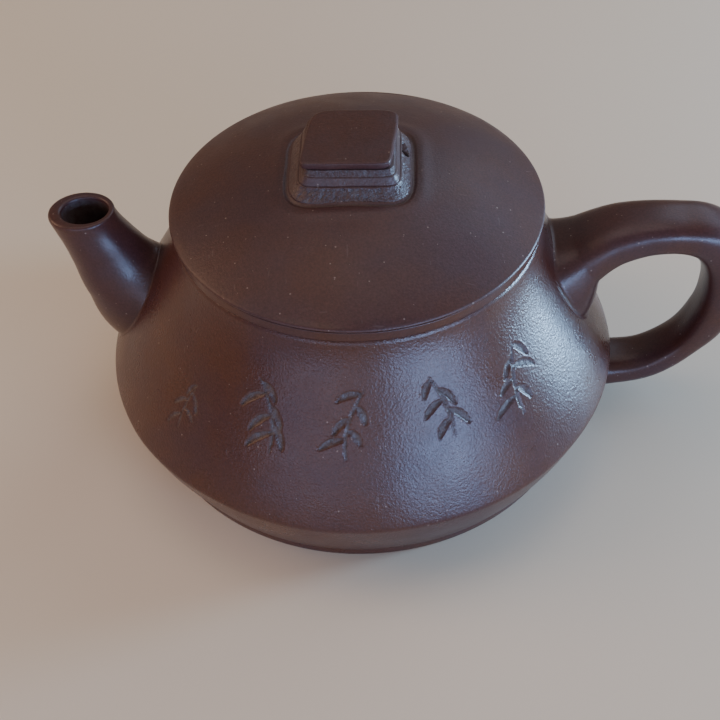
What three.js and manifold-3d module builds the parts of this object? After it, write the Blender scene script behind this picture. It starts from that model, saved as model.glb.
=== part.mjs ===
// A low unglazed clay teapot: ridged round body, short rising spout, ear-shaped handle and
// a broad lid with a small stepped square knob. Millimetres, +Z up, resting on its foot.
// The spout points along -X and the handle along +X. The pot's pieces are luted together
// with a slip joint GAP thick. The lid is loose, and lifts straight up out of the mouth.
import * as THREE from "three";
import { mergeVertices } from "three/addons/utils/BufferGeometryUtils.js";
import Module from "manifold-3d";

const wasm = await Module();
wasm.setup();

// Driving dimensions
const GAP = 0.3; // between pieces that are luted or rest on each other
const WALL = 2.8; // thickness of the body's walls
const ROUND_SIDES = 56; // facets round the body and the lid

const FOOT_HEIGHT = 2.2;
const FOOT_RADIUS = 48.3;
const FOOT_WIDTH = 4.6;
const BASE_THICKNESS = 3;
const RIDGE_RADIUS = 55.3;
const RIDGE_HEIGHT = 17.5;
const NECK_RADIUS = 37.4;
const NECK_HEIGHT = 52;
const MOUTH_HEIGHT = 54.4; // top face of the mouth's rim
const MOUTH_RADIUS = 32.5;
const MOUTH_RIM_RADIUS = 37.5;

const LID_RADIUS = 38;
const LID_EDGE_HEIGHT = 55.5; // widest line of the lid
const LID_RISE = 9; // from the edge to the top of the dome
const LID_THICKNESS = 2.9;
const FLANGE_RADIUS = 32;
const FLANGE_WIDTH = 2.7;
const FLANGE_DEPTH = 7.5;

const KNOB_PLACE = new THREE.Vector3(-0.9, 0.5, 0); // the knob stands a little off centre
const KNOB_TOP = 70.7;
const KNOB_CORNERS = 6; // exponent of the knob's rounded square, higher is squarer
const PLINTH_HALF = 12.2;
const PLINTH_TOP = 65.8;
const WAIST_HALF = 9.8;
const WAIST_TOP = 69;
const CAP_HALF = 8.8;
const CAP_OFFSET = 0.2; // the cap is set off centre on the knob, towards the handle
const VENT_RADIUS = 1.2;
const VENT_LENGTH = 13;
const VENT_TILT = THREE.MathUtils.degToRad(33);
const VENT_TURN = THREE.MathUtils.degToRad(17);

const SPOUT_TIP_HEIGHT = 53.2;
const SPOUT_BORE_WALL = 1.9;
const SPOUT_BORE_SHIFT = 0.7; // the pouring lip is the thicker side
const SPOUT_PORT_RADIUS = 5.6; // opening through the body's wall behind the spout
const STRAINER_RADIUS = 9;
const STRAINER_THICKNESS = 1.6;
const STRAINER_HOLE_RADIUS = 1.1;

// Materials: one purple-brown clay, burnished outside and rough where it is chiselled
const bodyClay = new THREE.MeshStandardMaterial({ color: 0x53403f, roughness: 0.5, metalness: 0 });
const lidClay = new THREE.MeshStandardMaterial({ color: 0x564446, roughness: 0.5, metalness: 0 });
const roughClay = new THREE.MeshStandardMaterial({ color: 0x5a4a4a, roughness: 0.7, metalness: 0 });
const innerClay = new THREE.MeshStandardMaterial({ color: 0x4a3733, roughness: 0.8, metalness: 0 });

const v2 = (r, z) => new THREE.Vector2(r, z);
const v3 = (x, y, z) => new THREE.Vector3(x, y, z);

// Turns an outline of (radius, height) points about the pot's axis, which is Z.
function turned(outline, sides = ROUND_SIDES) {
  const geometry = new THREE.LatheGeometry(outline, sides);
  geometry.rotateX(Math.PI / 2);
  return geometry;
}

function solidOf(geometry) {
  const bare = geometry.clone();
  bare.deleteAttribute("normal");
  bare.deleteAttribute("uv");
  const merged = mergeVertices(bare, 1e-3);
  const mesh = new wasm.Mesh({
    numProp: 3,
    vertProperties: merged.getAttribute("position").array,
    triVerts: new Uint32Array(merged.index.array),
  });
  return new wasm.Manifold(mesh);
}

function geometryOf(solid) {
  const mesh = solid.getMesh();
  const geometry = new THREE.BufferGeometry();
  geometry.setAttribute("position", new THREE.BufferAttribute(mesh.vertProperties, 3));
  geometry.setIndex(new THREE.BufferAttribute(mesh.triVerts, 1));
  geometry.computeVertexNormals();
  return geometry;
}

// The first geometry with all the others cut out of it.
function cut(geometry, ...tools) {
  const left = tools.reduce((solid, tool) => solid.subtract(solidOf(tool)), solidOf(geometry));
  return geometryOf(left);
}

// Points of a 2D curve moved along its left-hand normal by a distance.
function offsetPoints(curve, distance, steps) {
  return Array.from({ length: steps + 1 }, (_, i) => {
    const tangent = curve.getTangent(i / steps);
    return curve.getPoint(i / steps).add(v2(-tangent.y, tangent.x).multiplyScalar(distance));
  });
}

// Shoulder from the ridge up to the neck, seen in section
const shoulder = new THREE.CubicBezierCurve(
  v2(RIDGE_RADIUS, RIDGE_HEIGHT),
  v2(RIDGE_RADIUS - 4.1, RIDGE_HEIGHT + 11),
  v2(NECK_RADIUS + 1.4, NECK_HEIGHT - 8),
  v2(NECK_RADIUS, NECK_HEIGHT),
);
// Underside from the foot out to the ridge, very slightly bulged
const underside = new THREE.QuadraticBezierCurve(
  v2(FOOT_RADIUS + 0.5, FOOT_HEIGHT + GAP),
  v2((FOOT_RADIUS + RIDGE_RADIUS) / 2 + 1, (FOOT_HEIGHT + RIDGE_HEIGHT) / 2),
  v2(RIDGE_RADIUS, RIDGE_HEIGHT),
);

// The body's outer skin with a margin, closed over at the neck, to trim what is luted to it.
function bodyBlank(margin) {
  const outline = [
    v2(0, -1),
    v2(FOOT_RADIUS + margin, -1),
    ...offsetPoints(underside, -margin, 4),
    ...offsetPoints(shoulder, -margin, 10),
    v2(0, NECK_HEIGHT + margin),
  ];
  return turned(outline);
}

// The hollow inside the body's walls, drawn in by a margin.
function cavityBlank(margin) {
  const outline = [
    v2(0, FOOT_HEIGHT + BASE_THICKNESS + margin),
    v2(FOOT_RADIUS - WALL, FOOT_HEIGHT + BASE_THICKNESS + margin),
    v2(RIDGE_RADIUS - WALL - margin - 0.4, RIDGE_HEIGHT),
    ...offsetPoints(shoulder, WALL + margin, 10).slice(2),
    v2(0, NECK_HEIGHT),
  ];
  return turned(outline);
}

function footRing() {
  const inner = FOOT_RADIUS - FOOT_WIDTH;
  const edge = 0.6;
  const outline = [
    v2(inner, FOOT_HEIGHT),
    v2(inner, edge),
    v2(inner + edge, 0),
    v2(FOOT_RADIUS - edge, 0),
    v2(FOOT_RADIUS, edge),
    v2(FOOT_RADIUS + 0.4, FOOT_HEIGHT),
    v2(inner, FOOT_HEIGHT),
  ];
  return turned(outline);
}

function baseDisc() {
  const bottom = FOOT_HEIGHT + GAP;
  const radius = FOOT_RADIUS - WALL;
  const outline = [
    v2(0, bottom),
    v2(radius - 0.4, bottom),
    v2(radius, bottom + BASE_THICKNESS),
    v2(0, bottom + BASE_THICKNESS),
  ];
  return turned(outline);
}

function lowerWall() {
  const top = RIDGE_HEIGHT - GAP / 2;
  const outside = underside.getPoints(5);
  outside[outside.length - 1].y = top;
  const inside = [v2(RIDGE_RADIUS - WALL, top), v2(FOOT_RADIUS - WALL + 0.8, FOOT_HEIGHT + GAP)];
  return turned([...outside, ...inside, outside[0]]);
}

// The wall opening that lets tea into the spout
function spoutPort() {
  const length = 30;
  const port = new THREE.CylinderGeometry(SPOUT_PORT_RADIUS, SPOUT_PORT_RADIUS, length, 20);
  port.rotateZ(SPOUT_ROOT_TILT + Math.PI / 2);
  port.translate(SPOUT_ROOT.x, 0, SPOUT_ROOT.z);
  return port;
}

function upperWall() {
  const bottom = RIDGE_HEIGHT + GAP / 2;
  const outside = shoulder.getPoints(9);
  outside[0].y = bottom;
  const inside = offsetPoints(shoulder, WALL, 9).reverse().slice(0, -1);
  inside[0].y = NECK_HEIGHT;
  const wall = turned([...outside, ...inside, v2(RIDGE_RADIUS - WALL, bottom), outside[0]]);
  return cut(wall, spoutPort());
}

function mouthRim() {
  const bottom = NECK_HEIGHT + GAP;
  const edge = 0.35;
  const outline = [
    v2(MOUTH_RADIUS, bottom),
    v2(MOUTH_RIM_RADIUS - edge, bottom),
    v2(MOUTH_RIM_RADIUS, bottom + edge),
    v2(MOUTH_RIM_RADIUS, MOUTH_HEIGHT - edge),
    v2(MOUTH_RIM_RADIUS - edge, MOUTH_HEIGHT),
    v2(MOUTH_RADIUS, MOUTH_HEIGHT),
    v2(MOUTH_RADIUS, bottom),
  ];
  return turned(outline);
}

// A bar with a changing oval section, swept along a curve in the XZ plane. Each station gives
// the centre, the half height in the plane and the half width across it. A roundness of 1
// makes an ellipse, and less makes the section squarer.
function sweptBar(stations, steps, sides, roundness = 1) {
  const path = new THREE.CatmullRomCurve3(stations.map((s) => v3(s.x, 0, s.z)));
  const sizes = new THREE.CatmullRomCurve3(stations.map((s) => v3(s.height, s.width, 0)));
  const outline = [v2(0, 0), ...Array.from({ length: steps + 1 }, (_, i) => v2(1, i / steps)), v2(0, 1)];
  const bar = new THREE.LatheGeometry(outline, sides);
  const position = bar.getAttribute("position");
  const squared = (value) => Math.sign(value) * Math.abs(value) ** roundness;
  for (let i = 0; i < position.count; i++) {
    const along = THREE.MathUtils.clamp(position.getY(i), 0, 1);
    const size = sizes.getPoint(along);
    const tangent = path.getTangent(along);
    const point = path.getPoint(along);
    const up = squared(position.getX(i)) * size.x;
    point.x -= tangent.z * up;
    point.z += tangent.x * up;
    point.y = squared(position.getZ(i)) * size.y;
    position.setXYZ(i, point.x, point.y, point.z);
  }
  return bar;
}

// Spout, from inside the wall out to beyond the level of its mouth
const SPOUT_ROOT = v3(-44.5, 0, 30);
const SPOUT_ROOT_TILT = THREE.MathUtils.degToRad(-28);
const spoutStations = [
  { x: -39, z: 27.5, height: 15.5, width: 11 },
  { x: -46.2, z: 31, height: 13.2, width: 9.6 },
  { x: -50.8, z: 37, height: 9.4, width: 8.1 },
  { x: -53.7, z: 43.6, height: 7.4, width: 6.9 },
  { x: -56.1, z: 50, height: 6.6, width: 6.1 },
  { x: -57.9, z: 57, height: 6.9, width: 6.2 },
];

function spoutBore() {
  const bore = spoutStations.map((s) => ({
    x: s.x + SPOUT_BORE_SHIFT,
    z: s.z,
    height: s.height - SPOUT_BORE_WALL,
    width: s.width - SPOUT_BORE_WALL,
  }));
  const [root, next] = bore;
  const inside = { ...root, x: 2 * root.x - next.x, z: 2 * root.z - next.z };
  const last = bore[bore.length - 1];
  const outside = { ...last, x: last.x - 2, z: last.z + 8 };
  return sweptBar([inside, ...bore, outside], 16, 20);
}

function spout() {
  const aboveMouth = new THREE.BoxGeometry(60, 40, 20);
  aboveMouth.translate(SPOUT_ROOT.x, 0, SPOUT_TIP_HEIGHT + 10);
  return cut(sweptBar(spoutStations, 14, 24), spoutBore(), aboveMouth, bodyBlank(GAP));
}

// Perforated dome over the wall opening, on the inside
function strainer() {
  const inset = 2.5; // from the spout's root to the middle of the dome's sphere
  const middle = v3(Math.cos(SPOUT_ROOT_TILT), 0, Math.sin(SPOUT_ROOT_TILT))
    .multiplyScalar(inset)
    .add(SPOUT_ROOT);
  const dome = (radius) => new THREE.SphereGeometry(radius, 20, 10);
  const lie = (geometry) => {
    geometry.rotateZ(SPOUT_ROOT_TILT - Math.PI / 2);
    geometry.translate(middle.x, middle.y, middle.z);
    return geometry;
  };
  const hole = (tilt, turn) => {
    const drill = new THREE.CylinderGeometry(STRAINER_HOLE_RADIUS, STRAINER_HOLE_RADIUS, 12, 8);
    drill.translate(0, STRAINER_RADIUS, 0);
    drill.rotateX(tilt);
    drill.rotateY(turn);
    return lie(drill);
  };
  const rings = [
    { holes: 1, tilt: 0 },
    { holes: 6, tilt: 0.45 },
  ];
  const holes = rings.flatMap(({ holes: count, tilt }) =>
    Array.from({ length: count }, (_, i) => hole(-tilt, (2 * Math.PI * i) / count)),
  );
  const hollow = lie(dome(STRAINER_RADIUS - STRAINER_THICKNESS));
  const shell = solidOf(cut(lie(dome(STRAINER_RADIUS)), hollow, ...holes));
  return geometryOf(shell.intersect(solidOf(cavityBlank(GAP))));
}

// Handle, from its spread upper root over the top and round to its lower root
const handleStations = [
  { x: 36.5, z: 32.5, height: 12.5, width: 12.8 },
  { x: 42.9, z: 37.2, height: 9.7, width: 11.2 },
  { x: 47.7, z: 41.9, height: 5.1, width: 8.6 },
  { x: 53.3, z: 45.4, height: 4.5, width: 7.2 },
  { x: 59.5, z: 47.1, height: 4.1, width: 6.6 },
  { x: 66, z: 47.3, height: 4, width: 6.3 },
  { x: 72.4, z: 45.7, height: 4.7, width: 6.3 },
  { x: 77.2, z: 39.8, height: 5.4, width: 6.2 },
  { x: 78, z: 31.1, height: 4.7, width: 6 },
  { x: 76, z: 22.5, height: 3.9, width: 5.7 },
  { x: 71, z: 14.4, height: 3.1, width: 5.5 },
  { x: 64, z: 9.2, height: 3.2, width: 5.5 },
  { x: 56.5, z: 7.6, height: 3.6, width: 5.8 },
  { x: 47, z: 7.8, height: 4.6, width: 6.4 },
];

function handle() {
  return cut(sweptBar(handleStations, 34, 20, 0.8), bodyBlank(GAP));
}

// The lid's dome is part of a sphere, and its lower face runs parallel to the upper one.
const DOME_RADIUS = (LID_RADIUS ** 2 + LID_RISE ** 2) / (2 * LID_RISE);
const DOME_CENTRE = LID_EDGE_HEIGHT + LID_RISE - DOME_RADIUS;

function domePoints(radius, reach, steps) {
  const widest = Math.asin(reach / radius);
  return Array.from({ length: steps + 1 }, (_, i) => {
    const angle = (widest * i) / steps;
    return v2(radius * Math.sin(angle), DOME_CENTRE + radius * Math.cos(angle));
  });
}

// Slanting air passage from the knob's flank to the underside of the lid
function vent() {
  const passage = new THREE.CylinderGeometry(VENT_RADIUS, VENT_RADIUS, VENT_LENGTH, 12);
  passage.rotateZ(-Math.PI / 2);
  passage.rotateY(-VENT_TILT);
  passage.translate(PLINTH_HALF - 4.7, 0, PLINTH_TOP - 3.5);
  passage.rotateZ(VENT_TURN);
  return passage;
}

function lidDisc() {
  const seat = MOUTH_HEIGHT + GAP;
  const seatInner = FLANGE_RADIUS - FLANGE_WIDTH - GAP;
  const top = domePoints(DOME_RADIUS, LID_RADIUS, 8).reverse();
  const bottom = domePoints(DOME_RADIUS - LID_THICKNESS, seatInner - 1.5, 5);
  const edge = [v2(seatInner, seat), v2(LID_RADIUS - 0.4, seat), v2(LID_RADIUS, seat + 0.4)];
  return cut(turned([...bottom, ...edge, ...top]), vent().translate(KNOB_PLACE.x, KNOB_PLACE.y, 0));
}

function lidFlange() {
  const inner = FLANGE_RADIUS - FLANGE_WIDTH;
  const bottom = MOUTH_HEIGHT - FLANGE_DEPTH;
  const edge = 0.8;
  const outline = [
    v2(inner, bottom + edge),
    v2(inner + edge, bottom),
    v2(FLANGE_RADIUS - edge, bottom),
    v2(FLANGE_RADIUS, bottom + edge),
    v2(FLANGE_RADIUS, MOUTH_HEIGHT),
    v2(inner, MOUTH_HEIGHT),
    v2(inner, bottom + edge),
  ];
  return turned(outline);
}

// A turned outline whose round section is pushed out to a rounded square.
function squareTurned(outline) {
  const geometry = turned(outline, 48);
  const position = geometry.getAttribute("position");
  for (let i = 0; i < position.count; i++) {
    const x = position.getX(i);
    const y = position.getY(i);
    const radius = Math.hypot(x, y);
    const n = KNOB_CORNERS;
    const push = radius > 0 ? radius / (Math.abs(x) ** n + Math.abs(y) ** n) ** (1 / n) : 1;
    position.setXY(i, x * push, y * push);
  }
  return geometry;
}

function knobPlinth() {
  const buried = LID_EDGE_HEIGHT + 4; // below the dome, which trims the plinth's underside
  const outline = [
    v2(0, buried),
    v2(PLINTH_HALF, buried),
    v2(PLINTH_HALF, PLINTH_TOP - 1.7),
    v2(WAIST_HALF + 0.9, PLINTH_TOP - 0.8),
    v2(WAIST_HALF + 0.2, PLINTH_TOP),
    v2(0, PLINTH_TOP),
  ];
  const dome = domePoints(DOME_RADIUS + GAP, LID_RADIUS, 10).reverse();
  const lid = turned([v2(0, 0), v2(LID_RADIUS, 0), ...dome]);
  const place = new THREE.Matrix4().makeTranslation(-KNOB_PLACE.x, -KNOB_PLACE.y, 0);
  return cut(squareTurned(outline), lid.applyMatrix4(place), vent());
}

function knobWaist() {
  const bottom = PLINTH_TOP + GAP;
  const step = bottom + 1.5;
  const outline = [
    v2(0, bottom),
    v2(WAIST_HALF, bottom),
    v2(WAIST_HALF - 0.5, step),
    v2(WAIST_HALF - 0.9, step),
    v2(WAIST_HALF - 1.1, WAIST_TOP),
    v2(0, WAIST_TOP),
  ];
  return squareTurned(outline);
}

function knobCap() {
  const bottom = WAIST_TOP + GAP;
  const bevel = 0.4;
  const outline = [
    v2(0, bottom),
    v2(CAP_HALF, bottom),
    v2(CAP_HALF, KNOB_TOP - bevel),
    v2(CAP_HALF - bevel, KNOB_TOP),
    v2(0, KNOB_TOP),
  ];
  return squareTurned(outline);
}

function named(name, geometry, material) {
  const mesh = new THREE.Mesh(geometry, material);
  mesh.name = name;
  return mesh;
}

const pot = new THREE.Group();
pot.add(
  named("foot_ring", footRing(), bodyClay),
  named("base_disc", baseDisc(), bodyClay),
  named("lower_wall", lowerWall(), bodyClay),
  named("upper_wall", upperWall(), bodyClay),
  named("mouth_rim", mouthRim(), bodyClay),
  named("spout", spout(), bodyClay),
  named("strainer", strainer(), innerClay),
  named("handle", handle(), bodyClay),
);

const knob = new THREE.Group();
knob.add(
  named("knob_plinth", knobPlinth(), roughClay),
  named("knob_waist", knobWaist(), roughClay),
  named("knob_cap", knobCap().translate(CAP_OFFSET, 0, 0), lidClay),
);
knob.position.copy(KNOB_PLACE);

const lid = new THREE.Group();
lid.add(named("lid_disc", lidDisc(), lidClay), named("lid_flange", lidFlange(), lidClay), knob);

// The frame's origin lies on the table, under the middle of the whole object.
const teapot = new THREE.Group();
teapot.add(pot, lid);
const box = new THREE.Box3().setFromObject(teapot, true);
teapot.position.x = -(box.min.x + box.max.x) / 2;

export default teapot;
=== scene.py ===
"""Looks of a low unglazed clay teapot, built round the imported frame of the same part.

Shapes are worked out in millimetres about the pot's round axis, with +Z up, the spout towards
-X and the handle towards +X, and are moved into the frame, in metres, as each mesh is made.
"""

import math

import bmesh
import bpy
import numpy as np
from mathutils import Matrix, Vector


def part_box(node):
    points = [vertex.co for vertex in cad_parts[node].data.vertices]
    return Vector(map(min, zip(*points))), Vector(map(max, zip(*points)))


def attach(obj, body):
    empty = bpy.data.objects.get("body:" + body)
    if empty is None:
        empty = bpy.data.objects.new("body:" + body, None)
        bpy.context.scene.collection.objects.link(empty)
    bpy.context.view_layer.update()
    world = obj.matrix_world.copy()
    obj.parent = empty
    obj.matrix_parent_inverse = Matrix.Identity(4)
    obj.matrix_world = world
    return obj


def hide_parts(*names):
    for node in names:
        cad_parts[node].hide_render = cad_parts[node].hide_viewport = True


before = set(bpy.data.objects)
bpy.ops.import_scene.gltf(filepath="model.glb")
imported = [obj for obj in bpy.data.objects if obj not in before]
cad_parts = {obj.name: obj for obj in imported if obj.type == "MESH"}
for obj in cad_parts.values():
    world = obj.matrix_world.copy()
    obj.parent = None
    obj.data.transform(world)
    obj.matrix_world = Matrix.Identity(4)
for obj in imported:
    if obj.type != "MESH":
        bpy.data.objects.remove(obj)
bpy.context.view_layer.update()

MM = 0.001
TAU = 2 * math.pi


def node_box(node):
    """A CAD node's lowest and highest corners, in millimetres."""
    low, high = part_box(node)
    return np.array(low) / MM, np.array(high) / MM


def half_width(node):
    """Half of a CAD node's width along Y."""
    low, high = node_box(node)
    return (high[1] - low[1]) / 2


# Sizes in millimetres. Those that a node's box can't give are the ones the CAD model was built with.
LOWER_LOW, LOWER_HIGH = node_box("lower_wall")
UPPER_LOW, UPPER_HIGH = node_box("upper_wall")
RIM_HIGH = node_box("mouth_rim")[1]
LID_LOW, LID_HIGH = node_box("lid_disc")
FLANGE_LOW = node_box("lid_flange")[0]
PLINTH_LOW, PLINTH_HIGH = node_box("knob_plinth")
WAIST_LOW, WAIST_HIGH = node_box("knob_waist")
CAP_LOW, CAP_HIGH = node_box("knob_cap")
FOOT_HIGH = node_box("foot_ring")[1]
BASE_LOW, BASE_HIGH = node_box("base_disc")
SPOUT_HIGH = node_box("spout")[1]

AXIS_X = (LOWER_LOW[0] + LOWER_HIGH[0]) / 2
GAP = UPPER_LOW[2] - LOWER_HIGH[2]
WALL = 2.8
RIDGE_RADIUS = half_width("lower_wall")
RIDGE_HEIGHT = (LOWER_HIGH[2] + UPPER_LOW[2]) / 2
FOOT_RADIUS = half_width("foot_ring") - 0.4
FOOT_HEIGHT = FOOT_HIGH[2]
FOOT_WIDTH = 4.6
BASE_TOP = BASE_HIGH[2]
BASE_BOTTOM = BASE_LOW[2]
RIM_RADIUS = half_width("mouth_rim")
NECK_RADIUS = RIM_RADIUS - 0.1
NECK_HEIGHT = UPPER_HIGH[2]
MOUTH_RADIUS = 32.5
MOUTH_HEIGHT = RIM_HIGH[2]
LID_RADIUS = half_width("lid_disc")
LID_SEAT = LID_LOW[2]
LID_EDGE = LID_SEAT + 0.8
LID_TOP = LID_HIGH[2]
LID_THICKNESS = 2.9
FLANGE_RADIUS = half_width("lid_flange")
FLANGE_WIDTH = 2.7
SPOUT_TIP = SPOUT_HIGH[2]
KNOB_X = (PLINTH_LOW[0] + PLINTH_HIGH[0]) / 2 - AXIS_X
KNOB_Y = (PLINTH_LOW[1] + PLINTH_HIGH[1]) / 2
CAP_X = (CAP_LOW[0] + CAP_HIGH[0]) / 2 - AXIS_X
PLINTH_HALF = half_width("knob_plinth")
WAIST_HALF = half_width("knob_waist")
CAP_HALF = half_width("knob_cap")
SPOUT_ROOT = np.array([-44.5, 0.0, 30.0])
SPOUT_ROOT_TILT = math.radians(-28)
SPOUT_ROOT_WAY = np.array([math.cos(SPOUT_ROOT_TILT), 0, math.sin(SPOUT_ROOT_TILT)])


# ---------------------------------------------------------------- curves and grids

def unit(vectors):
    """Vectors scaled to a length of 1."""
    return vectors / np.linalg.norm(vectors, axis=-1)[..., None]


def round_angles(count):
    return np.linspace(0, TAU, count, endpoint=False)


def bezier(points, steps):
    """Points along a Bezier curve of any degree."""
    t = np.linspace(0, 1, steps + 1)[:, None]
    level = [np.array(p, float)[None, :] + 0 * t for p in points]
    while len(level) > 1:
        level = [a + (b - a) * t for a, b in zip(level, level[1:])]
    return level[0]


def catmull_rom(points, at):
    """A centripetal Catmull-Rom curve through points, at 0 to 1, and its tangent."""
    pts = np.array(points, float)
    pts = np.vstack([2 * pts[0] - pts[1], pts, 2 * pts[-1] - pts[-2]])
    spans = len(pts) - 3
    place = np.clip(np.asarray(at, float), 0, 1) * spans
    first = np.minimum(place.astype(int), spans - 1)
    w = (place - first)[..., None]
    p0, p1, p2, p3 = (pts[first + k] for k in range(4))
    d0, d1, d2 = (np.maximum(np.sqrt(np.linalg.norm(b - a, axis=-1)), 1e-4)[..., None]
                  for a, b in ((p0, p1), (p1, p2), (p2, p3)))
    m1 = ((p1 - p0) / d0 - (p2 - p0) / (d0 + d1) + (p2 - p1) / d1) * d1
    m2 = ((p2 - p1) / d1 - (p3 - p1) / (d1 + d2) + (p3 - p2) / d2) * d1
    a = 2 * p1 - 2 * p2 + m1 + m2
    b = -3 * p1 + 3 * p2 - 2 * m1 - m2
    return a * w ** 3 + b * w ** 2 + m1 * w + p1, 3 * a * w ** 2 + 2 * b * w + m1


def travelled(line):
    """Distance along a line at each of its points."""
    steps = np.linalg.norm(np.diff(line, axis=0), axis=1)
    return np.concatenate([[0], np.cumsum(steps)])


def by_length(line, lengths):
    """The line's points at the given distances along it."""
    along = travelled(line)
    return np.column_stack([np.interp(lengths, along, line[:, k]) for k in range(line.shape[1])])


def length_of(line):
    return float(np.linalg.norm(np.diff(line, axis=0), axis=1).sum())


def rounded(corners, radius, step=0.12):
    """A line through corners, softened so that each corner turns over about that radius."""
    line = np.array(corners, float)
    total = length_of(line)
    count = max(int(total / step), 8)
    even = by_length(line, np.linspace(0, total, count + 1))
    reach = max(int(radius / (total / count)), 1)
    kernel = np.hanning(2 * reach + 3)[1:-1]
    kernel /= kernel.sum()
    padded = np.vstack([np.repeat(even[:1], reach, 0), even, np.repeat(even[-1:], reach, 0)])
    soft = np.column_stack([np.convolve(padded[:, k], kernel, "valid") for k in range(2)])
    soft[0] = even[0]
    soft[-1] = even[-1]
    return soft


def thinned(line, tolerance=0.012, longest=1.5):
    """Drops points of a line where it's nearly straight."""
    kept = [0]
    last = 0
    for i in range(2, len(line)):
        chord = line[i] - line[last]
        size = np.linalg.norm(chord)
        between = line[last + 1:i] - line[last]
        off = np.abs(between[:, 0] * chord[1] - between[:, 1] * chord[0]) / max(size, 1e-9)
        if off.max() > tolerance or size > longest:
            kept.append(i - 1)
            last = i - 1
    kept.append(len(line) - 1)
    return line[kept]


def spaced(density, low, high, count):
    """Positions from low to high, closer together where density(position) is higher."""
    fine = np.linspace(low, high, 4000)
    total = np.concatenate([[0], np.cumsum((density(fine[1:]) + density(fine[:-1])) / 2)])
    return np.interp(np.linspace(0, total[-1], count), total, fine)


def grid_faces(rows, columns, wrap_rows):
    """Four-cornered faces of a grid of points, whose columns always go all the way round."""
    i = np.arange(rows if wrap_rows else rows - 1)
    i, j = np.meshgrid(i, np.arange(columns), indexing="ij")
    here = i * columns
    down = (i + 1) % rows * columns
    over = (j + 1) % columns
    quads = np.stack([here + j, here + over, down + over, down + j], -1)
    return quads.reshape(-1, 4)


def capped_grid(points, first_end, last_end):
    """Points and faces of a grid of rings, closed by a fan to a point at each end."""
    rows, columns = points.shape[:2]
    faces = [list(f) for f in grid_faces(rows, columns, False)]
    flat = np.vstack([points.reshape(-1, 3), first_end, last_end])
    first, last = len(flat) - 2, len(flat) - 1
    end_row = (rows - 1) * columns
    for j in range(columns):
        over = (j + 1) % columns
        faces.append([first, over, j])
        faces.append([last, end_row + j, end_row + over])
    return flat, faces


def revolved(line, angles):
    """A grid of points from turning a line of (radius, height) to each angle."""
    radius, height = line[:, :1], line[:, 1:]
    return np.stack([radius * np.cos(angles), radius * np.sin(angles), height + 0 * angles], -1)


def new_piece(name, points, faces, material, values=None):
    """A smooth mesh object from points in millimetres about the pot's axis.

    values: an optional number for each point, kept as the attribute "cut"; it marks cuts, and in the
    spout's bore it paints light.
    """
    mesh = bpy.data.meshes.new(name)
    scaled = (np.asarray(points, float) + (AXIS_X, 0, 0)) * MM
    mesh.from_pydata([tuple(p) for p in scaled], [], [tuple(int(k) for k in f) for f in faces])
    mesh.validate()
    if values is not None:
        attribute = mesh.attributes.new("cut", "FLOAT", "POINT")
        attribute.data.foreach_set("value", np.asarray(values, np.float32))
    mesh.polygons.foreach_set("use_smooth", [True] * len(mesh.polygons))
    mesh.materials.append(material)
    piece = bpy.data.objects.new(name, mesh)
    bpy.context.scene.collection.objects.link(piece)
    return piece


def face_outwards(piece):
    """Turns the faces of a closed piece outwards."""
    mesh = bmesh.new()
    mesh.from_mesh(piece.data)
    bmesh.ops.recalc_face_normals(mesh, faces=mesh.faces)
    mesh.to_mesh(piece.data)
    mesh.free()
    return piece


def turned_piece(name, outline, material, columns=192, on_axis=False, shape=None):
    """A piece turned about the pot's axis from an outline of (radius, height).

    With on_axis the outline starts and ends on the axis, and otherwise it closes on itself.
    shape: an optional function from the points to new points and their "cut" values.
    """
    line = np.asarray(outline, float)
    ring = line[1:-1] if on_axis else line
    points = revolved(ring, round_angles(columns))
    values = np.zeros(points.shape[:2])
    if shape:
        points, values = shape(points)
    values = values.reshape(-1)
    if not on_axis:
        faces = [list(f) for f in grid_faces(len(ring), columns, True)]
        return new_piece(name, points.reshape(-1, 3), faces, material, values)
    first_end, last_end = ([0, 0, row[:, 2].mean()] for row in (points[0], points[-1]))
    flat, faces = capped_grid(points, first_end, last_end)
    return new_piece(name, flat, faces, material, np.concatenate([values, [0, 0]]))


def closed_bar(name, points, material):
    """A closed piece from a grid of rings, with a fan of faces over each end."""
    flat, faces = capped_grid(points, points[0].mean(0), points[-1].mean(0))
    return face_outwards(new_piece(name, flat, faces, material, np.zeros(len(flat))))


def cutting_bar(name, start_ring, end_ring):
    """A closed bar between two rings of points, to cut with."""
    sides = len(start_ring)
    faces = [list(range(sides)), list(range(2 * sides - 1, sides - 1, -1))]
    for j in range(sides):
        over = (j + 1) % sides
        faces.append([j, sides + j, sides + over, over])
    points = np.vstack([start_ring, end_ring])
    return face_outwards(new_piece(name, points, faces, bpy.data.materials.new(name)))


def rod(name, radius, start, end, sides=48):
    """A round bar between two points, to cut with."""
    side = unit(np.cross(unit(end - start), (0, 1, 0)))
    up = np.cross(side, unit(end - start))
    angles = round_angles(sides)
    ring = radius * (np.cos(angles)[:, None] * side + np.sin(angles)[:, None] * up)
    return cutting_bar(name, start + ring, end + ring)


def cut_away(piece, *tools):
    """Cuts each tool out of the piece, and deletes the tools."""
    for tool in tools:
        modifier = piece.modifiers.new("cut_away", "BOOLEAN")
        modifier.operation = "DIFFERENCE"
        modifier.solver = "EXACT"
        modifier.object = tool
        bpy.context.view_layer.update()
        shown = piece.evaluated_get(bpy.context.evaluated_depsgraph_get())
        mesh = bpy.data.meshes.new_from_object(shown)
        piece.modifiers.clear()
        old = piece.data
        piece.data = mesh
        mesh.name = piece.name
        bpy.data.meshes.remove(old)
        bpy.data.objects.remove(tool)
    return piece


NOISE_WAVES = 24


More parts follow.
